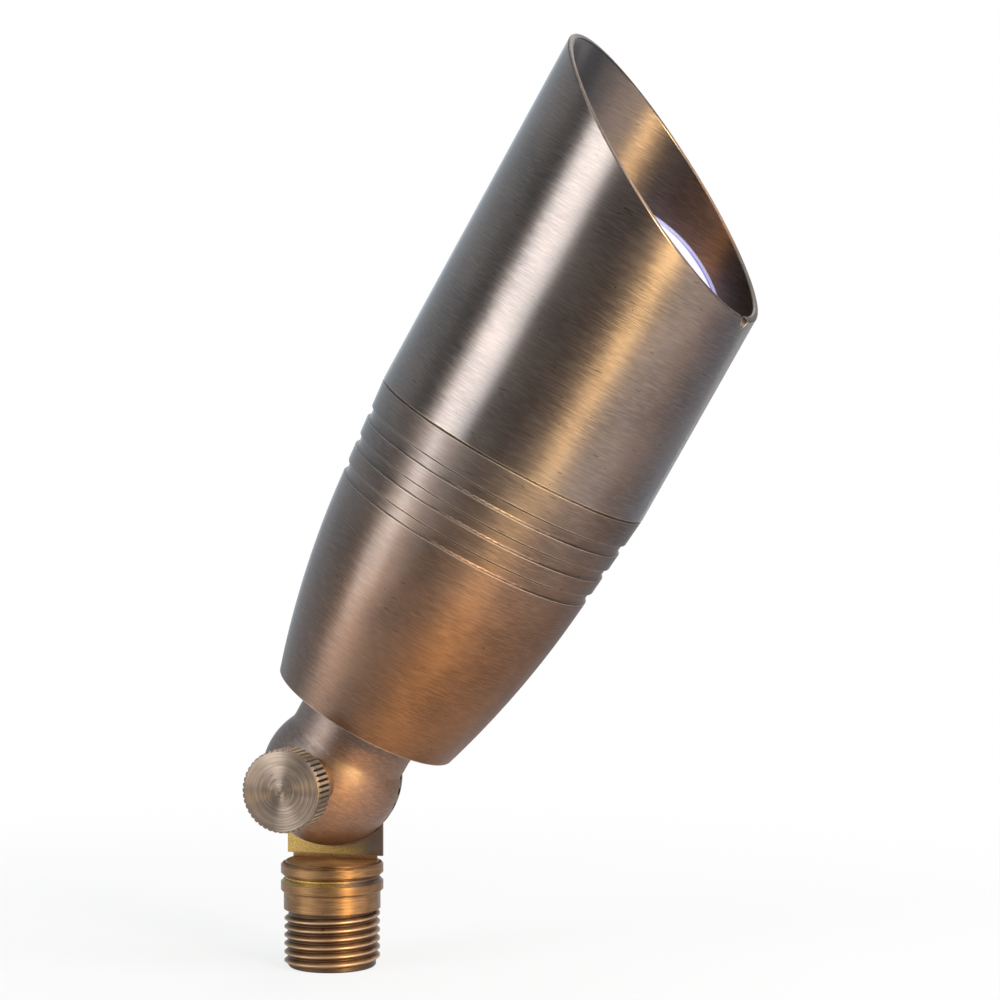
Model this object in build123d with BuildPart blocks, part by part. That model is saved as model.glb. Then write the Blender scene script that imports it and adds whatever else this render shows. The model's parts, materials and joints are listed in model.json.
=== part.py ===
from build123d import *
import os
from math import atan, cos, degrees, radians, sin, sqrt, tan

os.makedirs("parts", exist_ok=True)

# Frame: the origin is on the stem axis, at the shoulder that seats on the stake or junction box.
# The head tilts about a Y axis through the pivot, and at rest it leans towards +X.
# Distances named "at" run along the head axis, from the pivot.
pivot_height = 24.9
tilt_at_rest = 30.1

# Running, sliding and assembly clearances
flat_gap = 0.1
running_gap = 0.05
slip_gap = 0.1
ball_gap = 0.4

# Stem: a threaded shank, a collar of two rings, a low lip and a flat-faced lug with a relief under it
thread_pitch = 1.814
thread_crest_radius = 10.33
thread_depth = 0.88
thread_flat = 0.25
thread_flank = 1.7
thread_sink = 0.1
thread_length = 12.5
thread_end_chamfer = 0.3
thread_start_angle = 125.0
shank_radius = 10.44
shank_length = 3.8
ring_radius = 11.06
ring_height = 2.8
ring_edge = 0.75
shoulder_edge = 0.35
ring_groove_radius = 10.2
ring_groove_height = 0.45
collar_edge = 0.35
lip_height = 0.5
lip_radius = 10.1
lip_edge = 0.2
relief_height = 1.4
relief_radius = 9.8
lug_radius = 11.07
stem_bore_radius = 5.5
stem_bore_depth = 19.0
lug_bore_radius = 2.4
lug_bore_offset = 5.9

# Knuckle: two half balls that meet on a serrated face, clamped by the thumb screw
ball_radius = 15.2
joint_face = 1.45
joint_gap = 0.3
tooth_count = 28
tooth_width = 1.5
tooth_depth = 0.7
tooth_wall = 0.8
wire_pocket_wall = 1.4
wire_pocket_width = 4.4
wire_pocket_depth = 5.6
knuckle_seal_wall = 0.8
knuckle_seal_section = 1.4

# Thumb screw: a straight-knurled head on a hub and a shaft
knob_radius = 8.6
knob_thickness = 6.2
knob_edge = 0.5
knurl_count = 45
knurl_width = 0.62
knurl_depth = 0.45
hub_radius = 5.2
hub_height = 2.9
washer_radius = 5.5
washer_thickness = 1.0
boss_radius = 5.6
boss_height = 4.9
boss_edge = 0.6
screw_radius = 3.0
screw_end = 9.0
screw_hole_spare = 1.5

# Neck: from the front half ball through the rear wall of the body
neck_radius = 13.3
neck_blend = 3.0
neck_back_height = 4.0
neck_gasket_thickness = 0.6
neck_gasket_inset = 0.3
neck_gasket_bore_gap = 0.7
spigot_radius = 9.0
spigot_length = 13.6
neck_bore_radius = 2.4
neck_bore_offset = 4.6
wire_seal_length = 6.0

# Body: a tapered cup with three turned grooves, and a front spigot for the shroud
body_rear_at = 15.6
body_rear_inset = 10.2
body_rear_corner = 1.3
body_waist_height = 20.7
body_waist_inset = 5.05
band_start_height = 40.9
band_start_inset = 2.15
body_height = 65.6
seam_step = 0.05
body_wall = 2.8
rear_wall = 5.0
groove_from_seam = 8.66
groove_spacing = 6.22
groove_count = 3
groove_width = 2.66
groove_depth = 0.57
groove_bevel = 0.42
groove_cove = 0.5
body_spigot_gap = 0.2
body_spigot_wall = 2.1
body_spigot_length = 22.8
body_spigot_chamfer = 0.6
body_seam_chamfer = 0.35

# O-rings between the body's spigot and the shroud
o_ring_groove_depth = 1.6
o_ring_groove_width = 2.4
o_ring_rear_height = 5.8
o_ring_front_inset = 5.0

# Shroud: a thin tube cut at a slant, turned a little on its seals
shroud_wall = 1.5
shroud_gap = 0.1
shroud_seam_chamfer = 0.15
shroud_length = 65.1
shroud_cut_angle = 29.4
shroud_twist = 9.0
rim_edge = 0.4
notch_radius = 1.75
ledge_height = 33.85
ledge_thickness = 1.8
ledge_width = 3.2

# Lens: a domed glass on a flat gasket, held by a silicone bead
dome_margin = 3.2
lens_edge_height = 1.86
lens_thickness = 3.0
lens_edge_gap = 0.2
lens_gasket_thickness = 1.0
lens_gasket_inset = 0.6
bead_height = 2.6
bead_width = 1.2

# Lamp: a standard two-pin lamp, which sets the width of the whole head
lamp_radius = 25.0
lamp_gap = 2.3
lamp_seat_gap = 0.5
lamp_base_radius = 9.0
lamp_base_height = 8.0
lamp_length = 49.0
lamp_rim_height = 7.0
lamp_wall = 2.0
optic_thickness = 3.0
led_board_inset = 8.0
led_board_thickness = 1.6
led_board_depth = 12.0
lamp_pin_radius = 0.75
lamp_pin_spacing = 5.3
lamp_pin_length = 7.5
fin_count = 24
fin_slot_width = 1.6
fin_slot_depth = 1.6

# Socket: a ceramic block on a bracket that the neck's locknut clamps
bracket_sheet = 1.0
bracket_arm_width = 10.0
bracket_height = 26.0
bracket_nut_gap = 0.2
bracket_wire_gap = 0.85
socket_length = 26.0
socket_width = 10.0
socket_height = 12.0
socket_ear_height = 6.0
socket_ear_length = 6.5
contact_wall = 0.5
contact_step = 1.4
contact_recess = 2.1
socket_screw_radius = 1.5
socket_screw_head_radius = 2.6
socket_screw_head_height = 1.8
lock_washer_thickness = 0.8
lock_washer_radius = 12.4
locknut_across_flats = 22.0
locknut_height = 4.5
lead_radius = 0.9
lead_seal_spacing = 2.2
lead_bend = 4.0

# Directions of the head
tilt = radians(tilt_at_rest)
pivot = Vector(0, 0, pivot_height)
head_x = Vector(cos(tilt), 0, -sin(tilt))
head_z = Vector(sin(tilt), 0, cos(tilt))
head_axis = Axis(pivot, head_z)
head_side = Plane(origin=pivot, x_dir=head_x, z_dir=(0, -1, 0))
screw_axis = Axis(pivot, (0, 1, 0))
screw_side = Plane(origin=pivot, x_dir=(1, 0, 0), z_dir=(0, 0, 1))

# Heights on the stem, up from the shoulder
collar_top = 2 * ring_height + ring_groove_height
lip_top = collar_top + lip_height
lug_bottom = collar_top + relief_height
thread_root_radius = thread_crest_radius - thread_depth
thread_top = -shank_length
stem_end = thread_top - thread_length
stem_face = joint_face + joint_gap

# Radii on the joint face, out from the screw
wire_pocket_inner_radius = screw_radius + wire_pocket_wall
wire_pocket_outer_radius = wire_pocket_inner_radius + wire_pocket_width
knuckle_seal_radius = wire_pocket_outer_radius + knuckle_seal_wall + knuckle_seal_section / 2
tooth_inner_radius = knuckle_seal_radius + knuckle_seal_section / 2 + tooth_wall

# Places along the clamp screw, out from the pivot
boss_face = ball_radius + boss_height
washer_face = boss_face + flat_gap
hub_face = washer_face + washer_thickness
knob_back = hub_face + hub_height
knob_face = knob_back + knob_thickness

# Places along the head axis, from the pivot
neck_top_at = body_rear_at - neck_gasket_thickness
neck_back_at = neck_top_at - neck_back_height
spigot_end_at = neck_top_at + spigot_length
cavity_floor_at = body_rear_at + rear_wall
body_waist_at = body_rear_at + body_waist_height
band_start_at = body_rear_at + band_start_height
seam_at = body_rear_at + body_height
body_front_at = seam_at + body_spigot_length
o_ring_rear_at = seam_at + o_ring_rear_height
o_ring_front_at = body_front_at - o_ring_front_inset
shroud_rear_at = seam_at + shroud_gap
shroud_cut_at = shroud_rear_at + shroud_length
ledge_at = shroud_rear_at + ledge_height
lens_gasket_at = ledge_at + ledge_thickness
lens_seat_at = lens_gasket_at + lens_gasket_thickness
lock_washer_at = cavity_floor_at + bracket_sheet
locknut_at = lock_washer_at + lock_washer_thickness
bracket_plate_at = cavity_floor_at + bracket_height
socket_at = bracket_plate_at + bracket_sheet
contact_at = socket_at + contact_step
lamp_base_at = socket_at + socket_height + lamp_seat_gap
lamp_face_at = lamp_base_at + lamp_length

# Radii about the head axis, out from the lamp
led_board_radius = lamp_radius - led_board_inset
body_bore_radius = lamp_radius + lamp_gap
body_spigot_radius = body_bore_radius + body_spigot_wall
shroud_bore_radius = body_spigot_radius + body_spigot_gap
shroud_radius = shroud_bore_radius + shroud_wall
seam_radius = shroud_radius - seam_step
band_start_radius = shroud_radius - band_start_inset
body_waist_radius = shroud_radius - body_waist_inset
body_rear_radius = shroud_radius - body_rear_inset
o_ring_groove_floor = body_spigot_radius - o_ring_groove_depth
o_ring_section = shroud_bore_radius - slip_gap - o_ring_groove_floor - running_gap
o_ring_radius = o_ring_groove_floor + running_gap + o_ring_section / 2
ledge_inner_radius = shroud_bore_radius - ledge_width
lens_edge_radius = shroud_bore_radius - lens_edge_gap
dome_radius = lens_edge_radius + dome_margin
inner_dome_radius = dome_radius - lens_thickness
spigot_hole_radius = spigot_radius + running_gap

# The dome's centre is set by the height of the lens's edge over its seat
dome_centre_at = lens_seat_at + lens_edge_height - sqrt(dome_radius**2 - lens_edge_radius**2)
lens_crown_at = dome_centre_at + dome_radius

# Sizes of the socket and its bracket
bracket_arm_at = locknut_across_flats / sqrt(3) + bracket_nut_gap + bracket_sheet / 2
contact_radius = lamp_pin_radius + running_gap + contact_wall
contact_length = socket_height - contact_step - contact_recess
socket_screw_spacing = socket_length - socket_ear_length


def head_plane(at):
    """A plane square to the head axis, a distance along it from the pivot."""
    return Plane(origin=pivot + head_z * at, x_dir=head_x, z_dir=head_z)


def ball_plane(y):
    """A plane square to the clamp screw, facing along +Y."""
    return Plane(origin=(0, y, pivot_height), x_dir=(1, 0, 0), z_dir=(0, 1, 0))


def band_radius(at):
    """Radius of the body's straight taper."""
    slope = (seam_radius - band_start_radius) / (seam_at - band_start_at)
    return band_start_radius + slope * (at - band_start_at)


# Stem: the root of the thread, the shank, the collar, the lug and the back half ball
with BuildPart() as stem:
    with BuildSketch(Plane.XZ):
        with BuildLine():
            Polyline(
                (0, stem_end),
                (thread_root_radius - thread_end_chamfer, stem_end),
                (thread_root_radius, stem_end + thread_end_chamfer),
                (thread_root_radius, thread_top),
                (shank_radius, thread_top),
                (shank_radius, 0),
                (ring_radius - shoulder_edge, 0),
                (ring_radius, shoulder_edge),
                (ring_radius, ring_height - ring_edge),
                (ring_radius - ring_edge, ring_height),
                (ring_groove_radius, ring_height),
                (ring_groove_radius, ring_height + ring_groove_height),
                (ring_radius - ring_edge, ring_height + ring_groove_height),
                (ring_radius, ring_height + ring_groove_height + ring_edge),
                (ring_radius, collar_top - collar_edge),
                (ring_radius - collar_edge, collar_top),
                (lip_radius, collar_top),
                (lip_radius, lip_top - lip_edge),
                (lip_radius - lip_edge, lip_top),
                (0, lip_top),
                close=True,
            )
        make_face()
    revolve(axis=Axis.Z)
    with BuildSketch(Plane.XY.offset(collar_top)):
        Circle(relief_radius)
        with Locations((0, stem_face - lug_radius)):
            Rectangle(2 * lug_radius, 2 * lug_radius, mode=Mode.SUBTRACT)
    extrude(amount=relief_height)
    with BuildSketch(Plane.XY.offset(lug_bottom)):
        Circle(lug_radius)
        with Locations((0, stem_face - lug_radius)):
            Rectangle(2 * lug_radius, 2 * lug_radius, mode=Mode.SUBTRACT)
    extrude(amount=pivot_height - lug_bottom)
    with BuildSketch(screw_side):
        with BuildLine():
            Line((0, stem_face), (sqrt(ball_radius**2 - stem_face**2), stem_face))
            ThreePointArc(
                (sqrt(ball_radius**2 - stem_face**2), stem_face),
                (ball_radius * sin(radians(45)), ball_radius * cos(radians(45))),
                (0, ball_radius),
            )
            Line((0, ball_radius), (0, stem_face))
        make_face()
    revolve(axis=screw_axis)
    # Helical ridge of the thread, which starts and ends at the back
    with BuildLine(mode=Mode.PRIVATE) as thread_path:
        Helix(
            pitch=thread_pitch,
            height=thread_length - thread_pitch,
            radius=thread_root_radius,
            center=(0, 0, stem_end + thread_pitch / 2),
        )
    thread_line = thread_path.line.rotate(Axis.Z, thread_start_angle)
    thread_outward = Vector(1, 0, 0).rotate(Axis.Z, thread_start_angle)
    ridge_start = Plane(origin=thread_line @ 0, x_dir=thread_outward, z_dir=thread_line % 0)
    with BuildSketch(ridge_start):
        with BuildLine():
            Polyline(
                (-thread_sink, -thread_flank / 2),
                (thread_depth, -thread_flat / 2),
                (thread_depth, thread_flat / 2),
                (-thread_sink, thread_flank / 2),
                close=True,
            )
        make_face()
    sweep(path=thread_line, is_frenet=True)
    # Wire way: up the shank, then beside the flat into the pocket in the joint face
    with BuildSketch(Plane.XY.offset(stem_end)):
        Circle(stem_bore_radius)
    extrude(amount=stem_bore_depth, mode=Mode.SUBTRACT)
    lug_bore_bottom = stem_end + stem_bore_depth - lug_bore_radius
    lug_bore_top = pivot_height - wire_pocket_inner_radius - flat_gap
    with BuildSketch(Plane.XY.offset(lug_bore_bottom)):
        with Locations((0, lug_bore_offset)):
            Circle(lug_bore_radius)
    extrude(amount=lug_bore_top - lug_bore_bottom, mode=Mode.SUBTRACT)
    with BuildSketch(ball_plane(stem_face)):
        Circle(wire_pocket_outer_radius)
        Circle(wire_pocket_inner_radius, mode=Mode.SUBTRACT)
    extrude(amount=wire_pocket_depth, mode=Mode.SUBTRACT)
    # Seat of the seal, serrations and the tapped hole
    with BuildSketch(ball_plane(stem_face)):
        Circle(knuckle_seal_radius + knuckle_seal_section / 2 + running_gap)
        Circle(knuckle_seal_radius - knuckle_seal_section / 2 - running_gap, mode=Mode.SUBTRACT)
    extrude(amount=knuckle_seal_section - joint_gap / 2 + running_gap, mode=Mode.SUBTRACT)
    with BuildSketch(ball_plane(stem_face)):
        with PolarLocations((tooth_inner_radius + ball_radius) / 2, tooth_count):
            Rectangle(ball_radius - tooth_inner_radius, tooth_width)
    extrude(amount=tooth_depth, mode=Mode.SUBTRACT)
    with BuildSketch(ball_plane(stem_face)):
        Circle(screw_radius + running_gap)
    extrude(amount=screw_end + screw_hole_spare - stem_face, mode=Mode.SUBTRACT)

# Front half ball, boss, neck and threaded spigot
blend_at = sqrt((ball_radius + neck_blend) ** 2 - (neck_radius + neck_blend) ** 2)
blend_angle = atan(blend_at / (neck_radius + neck_blend))
with BuildPart() as upper_knuckle:
    with BuildSketch(head_side):
        with BuildLine():
            ball_tangent = (ball_radius * cos(blend_angle), ball_radius * sin(blend_angle))
            blend_middle = (
                neck_radius + neck_blend - neck_blend * cos(blend_angle / 2),
                blend_at - neck_blend * sin(blend_angle / 2),
            )
            ThreePointArc((0, -ball_radius), (ball_radius, 0), ball_tangent)
            ThreePointArc(ball_tangent, blend_middle, (neck_radius, blend_at))
            Polyline(
                (neck_radius, blend_at),
                (neck_radius, neck_top_at),
                (spigot_radius, neck_top_at),
                (spigot_radius, spigot_end_at),
                (0, spigot_end_at),
                (0, -ball_radius),
            )
        make_face()
    revolve(axis=head_axis)
    # The back half is left to the stem's half ball, which nests in a round hollow
    with BuildSketch(screw_side):
        hollow_radius = ball_radius + ball_gap
        with BuildLine():
            Line((0, joint_face), (sqrt(hollow_radius**2 - joint_face**2), joint_face))
            ThreePointArc(
                (sqrt(hollow_radius**2 - joint_face**2), joint_face),
                (hollow_radius * sin(radians(45)), hollow_radius * cos(radians(45))),
                (0, hollow_radius),
            )
            Line((0, hollow_radius), (0, joint_face))
        make_face()
    revolve(axis=screw_axis, mode=Mode.SUBTRACT)
    with BuildSketch(head_plane(-ball_radius)):
        with Locations((0, joint_face + ball_radius)):
            Rectangle(4 * ball_radius, 2 * ball_radius)
    extrude(amount=ball_radius + neck_back_at, mode=Mode.SUBTRACT)
    with BuildSketch(ball_plane(0)):
        Circle(boss_radius)
    extrude(amount=-boss_face)
    chamfer(edges().group_by(Axis.Y)[0], boss_edge)
    # Clearance hole of the screw, and the wire way
    with BuildSketch(ball_plane(joint_face)):
        Circle(screw_radius + 2 * slip_gap)
    extrude(amount=-(boss_face + joint_face), mode=Mode.SUBTRACT)
    with BuildSketch(ball_plane(joint_face)):
        Circle(wire_pocket_outer_radius)
        Circle(wire_pocket_inner_radius, mode=Mode.SUBTRACT)
    extrude(amount=-wire_pocket_depth, mode=Mode.SUBTRACT)
    neck_bore_start = wire_pocket_inner_radius + flat_gap
    with BuildSketch(head_plane(neck_bore_start)):
        with Locations((0, -neck_bore_offset)):
            Circle(neck_bore_radius)
    extrude(amount=spigot_end_at - neck_bore_start, mode=Mode.SUBTRACT)
    with BuildSketch(ball_plane(joint_face)):
        with PolarLocations((tooth_inner_radius + ball_radius) / 2, tooth_count):
            Rectangle(ball_radius - tooth_inner_radius + 2 * tooth_depth, tooth_width)
    extrude(amount=-tooth_depth, mode=Mode.SUBTRACT)

with BuildPart() as knuckle_seal:
    with BuildSketch(screw_side):
        with Locations((knuckle_seal_radius, stem_face - joint_gap / 2 + knuckle_seal_section / 2)):
            Circle(knuckle_seal_section / 2)
    revolve(axis=screw_axis)

# Thumb screw: knurled head, hub and shaft, along the pivot
with BuildPart() as thumb_screw:
    with BuildSketch(screw_side):
        with BuildLine():
            Polyline(
                (0, -knob_face),
                (knob_radius - knob_edge, -knob_face),
                (knob_radius, -knob_face + knob_edge),
                (knob_radius, -knob_back - knob_edge),
                (knob_radius - knob_edge, -knob_back),
                (hub_radius, -knob_back),
                (hub_radius, -hub_face),
                (screw_radius, -hub_face),
                (screw_radius, screw_end - knob_edge),
                (screw_radius - knob_edge, screw_end),
                (0, screw_end),
                close=True,
            )
        make_face()
    revolve(axis=screw_axis)
    with BuildSketch(ball_plane(-knob_face)):
        with PolarLocations(knob_radius, knurl_count):
            Polygon(
                (-knurl_depth, 0),
                (knurl_depth, -knurl_width),
                (knurl_depth, knurl_width),
                align=None,
            )
    extrude(amount=knob_thickness, mode=Mode.SUBTRACT)

with BuildPart() as thumb_washer:
    with BuildSketch(ball_plane(-hub_face)):
        Circle(washer_radius)
        Circle(screw_radius + running_gap, mode=Mode.SUBTRACT)
    extrude(amount=washer_thickness)

# Body: outer taper, grooves, spigot and cavity
with BuildPart() as body:
    with BuildSketch(head_side):
        with BuildLine():
            Polyline(
                (spigot_hole_radius, cavity_floor_at),
                (spigot_hole_radius, body_rear_at),
                (body_rear_radius, body_rear_at),
            )
            ThreePointArc(
                (body_rear_radius, body_rear_at),
                (body_waist_radius, body_waist_at),
                (band_start_radius, band_start_at),
            )
            Polyline(
                (band_start_radius, band_start_at),
                (seam_radius, seam_at - body_seam_chamfer),
                (seam_radius - body_seam_chamfer, seam_at),
                (body_spigot_radius, seam_at),
                (body_spigot_radius, body_front_at - body_spigot_chamfer),
                (body_spigot_radius - body_spigot_chamfer, body_front_at),
                (body_bore_radius, body_front_at),
                (body_bore_radius, seam_at - body_spigot_wall),
                (band_start_radius - body_wall, band_start_at),
                (body_waist_radius - body_wall, body_waist_at),
                (body_rear_radius - body_wall, cavity_floor_at),
                (spigot_hole_radius, cavity_floor_at),
            )
        make_face()
        rear_corner = vertices().group_by(head_axis)[0].sort_by(Axis(pivot, head_x))[-1]
        fillet(rear_corner, body_rear_corner)
    revolve(axis=head_axis)
    for number in range(groove_count):
        lip_at = seam_at - groove_from_seam - number * groove_spacing
        top_at = lip_at + groove_width
        cove_at = lip_at + groove_cove
        bevel_at = top_at - groove_bevel
        lip_radius = band_radius(lip_at)
        cove_floor = (band_radius(cove_at) - groove_depth, cove_at)
        bevel_floor = (band_radius(bevel_at) - groove_depth, bevel_at)
        cove_middle = (
            lip_radius - groove_depth * cos(radians(45)),
            cove_at - groove_cove * sin(radians(45)),
        )
        with BuildSketch(head_side):
            with BuildLine():
                ThreePointArc((lip_radius, lip_at), cove_middle, cove_floor)
                Polyline(
                    cove_floor,
                    bevel_floor,
                    (band_radius(top_at), top_at),
                    (band_radius(top_at) + groove_depth, top_at),
                    (lip_radius + groove_depth, lip_at),
                    (lip_radius, lip_at),
                )
            make_face()
        revolve(axis=head_axis, mode=Mode.SUBTRACT)
    for ring_at in (o_ring_rear_at, o_ring_front_at):
        with BuildSketch(head_side):
            with Locations(((o_ring_groove_floor + body_spigot_radius + flat_gap) / 2, ring_at)):
                Rectangle(body_spigot_radius + flat_gap - o_ring_groove_floor, o_ring_groove_width)
        revolve(axis=head_axis, mode=Mode.SUBTRACT)

with BuildPart() as neck_gasket:
    with BuildSketch(head_plane(neck_top_at)):
        Circle(neck_radius - neck_gasket_inset)
        Circle(spigot_radius + neck_gasket_bore_gap, mode=Mode.SUBTRACT)
    extrude(amount=neck_gasket_thickness)

with BuildPart() as lock_washer:
    with BuildSketch(head_plane(lock_washer_at)):
        Circle(lock_washer_radius)
        Circle(spigot_hole_radius, mode=Mode.SUBTRACT)
    extrude(amount=lock_washer_thickness)

with BuildPart() as neck_locknut:
    with BuildSketch(head_plane(locknut_at)):
        RegularPolygon(locknut_across_flats / 2, 6, major_radius=False)
        Circle(spigot_hole_radius, mode=Mode.SUBTRACT)
    extrude(amount=locknut_height)

with BuildPart() as wire_seal:
    with BuildSketch(head_plane(spigot_end_at - wire_seal_length)):
        with Locations((0, -neck_bore_offset)):
            Circle(neck_bore_radius - running_gap)
    extrude(amount=wire_seal_length)

# O-rings in the grooves of the body's spigot
with BuildPart() as o_ring_rear:
    with BuildSketch(head_side):
        with Locations((o_ring_radius, o_ring_rear_at)):
            Circle(o_ring_section / 2)
    revolve(axis=head_axis)

with BuildPart() as o_ring_front:
    with BuildSketch(head_side):
        with Locations((o_ring_radius, o_ring_front_at)):
            Circle(o_ring_section / 2)
    revolve(axis=head_axis)

# Shroud: tube with a lens ledge, cut at a slant, with a drip notch at the lowest point
twist = radians(shroud_twist)
low_side = head_x * cos(twist) - Vector(0, 1, 0) * sin(twist)
cut_slope = tan(radians(shroud_cut_angle))
cut_normal = (head_z + low_side * cut_slope).normalized()
cut_plane = Plane(origin=pivot + head_z * shroud_cut_at, z_dir=cut_normal)
shroud_low_at = shroud_cut_at - shroud_radius * cut_slope
shroud_blank_at = shroud_cut_at + 2 * shroud_radius * cut_slope
with BuildPart() as shroud:
    with BuildSketch(head_side):
        with BuildLine():
            Polyline(
                (shroud_bore_radius, shroud_rear_at),
                (shroud_radius - shroud_seam_chamfer, shroud_rear_at),
                (shroud_radius, shroud_rear_at + shroud_seam_chamfer),
                (shroud_radius, shroud_blank_at),
                (shroud_bore_radius, shroud_blank_at),
                (shroud_bore_radius, lens_gasket_at),
                (ledge_inner_radius, lens_gasket_at),
                (ledge_inner_radius, ledge_at),
                (shroud_bore_radius, ledge_at),
                close=True,
            )
        make_face()
    revolve(axis=head_axis)
    split(bisect_by=cut_plane, keep=Keep.BOTTOM)
    rim_face = faces().sort_by(Axis(pivot, cut_normal))[-1]
    fillet(rim_face.edges(), rim_edge)
    notch_plane = Plane(origin=pivot + head_z * shroud_low_at, x_dir=head_z, z_dir=low_side)
    with BuildSketch(notch_plane):
        Circle(notch_radius)
    extrude(amount=shroud_radius + shroud_wall, mode=Mode.SUBTRACT)

with BuildPart() as lens_gasket:
    with BuildSketch(head_plane(lens_gasket_at)):
        Circle(lens_edge_radius)
        Circle(ledge_inner_radius + lens_gasket_inset, mode=Mode.SUBTRACT)
    extrude(amount=lens_gasket_thickness)


def dome_at(radius, sphere_radius):
    """Place along the head axis where a sphere about the dome's centre has this radius."""
    return dome_centre_at + sqrt(sphere_radius**2 - radius**2)


# Lens: a spherical shell with a ground seat
lens_seat_radius = sqrt(inner_dome_radius**2 - (lens_seat_at - dome_centre_at) ** 2)
half_edge = lens_edge_radius / 2
with BuildPart() as lens:
    with BuildSketch(head_side):
        with BuildLine():
            Line((0, dome_centre_at + inner_dome_radius), (0, lens_crown_at))
            ThreePointArc(
                (0, lens_crown_at),
                (half_edge, dome_at(half_edge, dome_radius)),
                (lens_edge_radius, dome_at(lens_edge_radius, dome_radius)),
            )
            Polyline(
                (lens_edge_radius, dome_at(lens_edge_radius, dome_radius)),
                (lens_edge_radius, lens_seat_at),
                (lens_seat_radius, lens_seat_at),
            )
            ThreePointArc(
                (lens_seat_radius, lens_seat_at),
                (half_edge, dome_at(half_edge, inner_dome_radius)),
                (0, dome_centre_at + inner_dome_radius),
            )
        make_face()
    revolve(axis=head_axis)

# Bead: silicone in the corner between the dome and the shroud's bore
bead_outer_radius = shroud_bore_radius - running_gap
bead_inner_radius = bead_outer_radius - bead_width
bead_dome_radius = dome_radius + running_gap
bead_middle = (bead_outer_radius + bead_inner_radius) / 2
bead_top_at = dome_at(bead_outer_radius, bead_dome_radius) + bead_height
with BuildPart() as lens_bead:
    with BuildSketch(head_side):
        with BuildLine():
            ThreePointArc(
                (bead_inner_radius, dome_at(bead_inner_radius, bead_dome_radius)),
                (bead_middle, dome_at(bead_middle, bead_dome_radius)),
                (bead_outer_radius, dome_at(bead_outer_radius, bead_dome_radius)),
            )
            Polyline(
                (bead_outer_radius, dome_at(bead_outer_radius, bead_dome_radius)),
                (bead_outer_radius, bead_top_at),
                (bead_inner_radius, dome_at(bead_inner_radius, bead_dome_radius)),
            )
        make_face()
    revolve(axis=head_axis)

# Lamp: finned housing, front optic, board and pins
lamp_rim_at = lamp_face_at - lamp_rim_height
cone_at = lamp_base_at + lamp_base_height
lamp_cone_height = lamp_rim_at - cone_at
optic_at = lamp_face_at - optic_thickness
led_board_at = lamp_face_at - led_board_depth
with BuildPart() as lamp_housing:
    with BuildSketch(head_side):
        with BuildLine():
            Polyline(
                (0, lamp_base_at),
                (lamp_base_radius, lamp_base_at),
                (lamp_base_radius, cone_at),
                (lamp_radius, lamp_rim_at),
                (lamp_radius, lamp_face_at),
                (lamp_radius - lamp_wall, lamp_face_at),
                (lamp_radius - lamp_wall, optic_at),
                (led_board_radius + running_gap, led_board_at + led_board_thickness),
                (led_board_radius + running_gap, led_board_at),
                (0, led_board_at),
                close=True,
            )
        make_face()
    revolve(axis=head_axis)
    fin_angle = degrees(atan((lamp_radius - lamp_base_radius) / lamp_cone_height))
    fin_middle_at = cone_at + lamp_cone_height / 2
    fin_middle_radius = (lamp_radius + lamp_base_radius) / 2
    for number in range(fin_count):
        fin_turn = Plane(pivot, x_dir=head_x, z_dir=head_z).rotated((0, 0, number * 360 / fin_count))
        fin_place = fin_turn * Location((fin_middle_radius, 0, fin_middle_at), (0, fin_angle, 0))
        with Locations(fin_place):
            Box(2 * fin_slot_depth, fin_slot_width, lamp_cone_height / 2, mode=Mode.SUBTRACT)

with BuildPart() as lamp_optic:
    with BuildSketch(head_plane(optic_at)):
        Circle(lamp_radius - lamp_wall - running_gap)
    extrude(amount=optic_thickness)

with BuildPart() as lamp_led_board:
    with BuildSketch(head_plane(led_board_at)):
        Circle(led_board_radius)
    extrude(amount=led_board_thickness)

with BuildPart() as lamp_pins:
    with BuildSketch(head_plane(lamp_base_at)):
        with GridLocations(lamp_pin_spacing, 0, 2, 1):
            Circle(lamp_pin_radius)
    extrude(amount=-lamp_pin_length)

# Socket: a ceramic block with two ears, its contacts and its screws
with BuildPart() as socket_body:
    with BuildSketch(head_plane(socket_at)):
        Rectangle(socket_length, socket_width)
    extrude(amount=socket_ear_height)
    with BuildSketch(head_plane(socket_at)):
        Rectangle(socket_length - 2 * socket_ear_length, socket_width)
    extrude(amount=socket_height)
    with BuildSketch(head_plane(socket_at)):
        with GridLocations(lamp_pin_spacing, 0, 2, 1):
            Circle(contact_radius + running_gap)
    extrude(amount=socket_height, mode=Mode.SUBTRACT)
    with BuildSketch(head_plane(socket_at)):
        with GridLocations(socket_screw_spacing, 0, 2, 1):
            Circle(socket_screw_radius + running_gap)
    extrude(amount=socket_ear_height, mode=Mode.SUBTRACT)

with BuildPart() as socket_contacts:
    with BuildSketch(head_plane(contact_at)):
        with GridLocations(lamp_pin_spacing, 0, 2, 1):
            Circle(contact_radius)
            Circle(lamp_pin_radius + running_gap, mode=Mode.SUBTRACT)
    extrude(amount=contact_length)

with BuildPart() as socket_screws:
    with BuildSketch(head_plane(bracket_plate_at)):
        with GridLocations(socket_screw_spacing, 0, 2, 1):
            Circle(socket_screw_radius)
    extrude(amount=bracket_sheet + socket_ear_height)
    with BuildSketch(head_plane(socket_at + socket_ear_height)):
        with GridLocations(socket_screw_spacing, 0, 2, 1):
            Circle(socket_screw_head_radius)
    extrude(amount=socket_screw_head_height)

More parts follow.
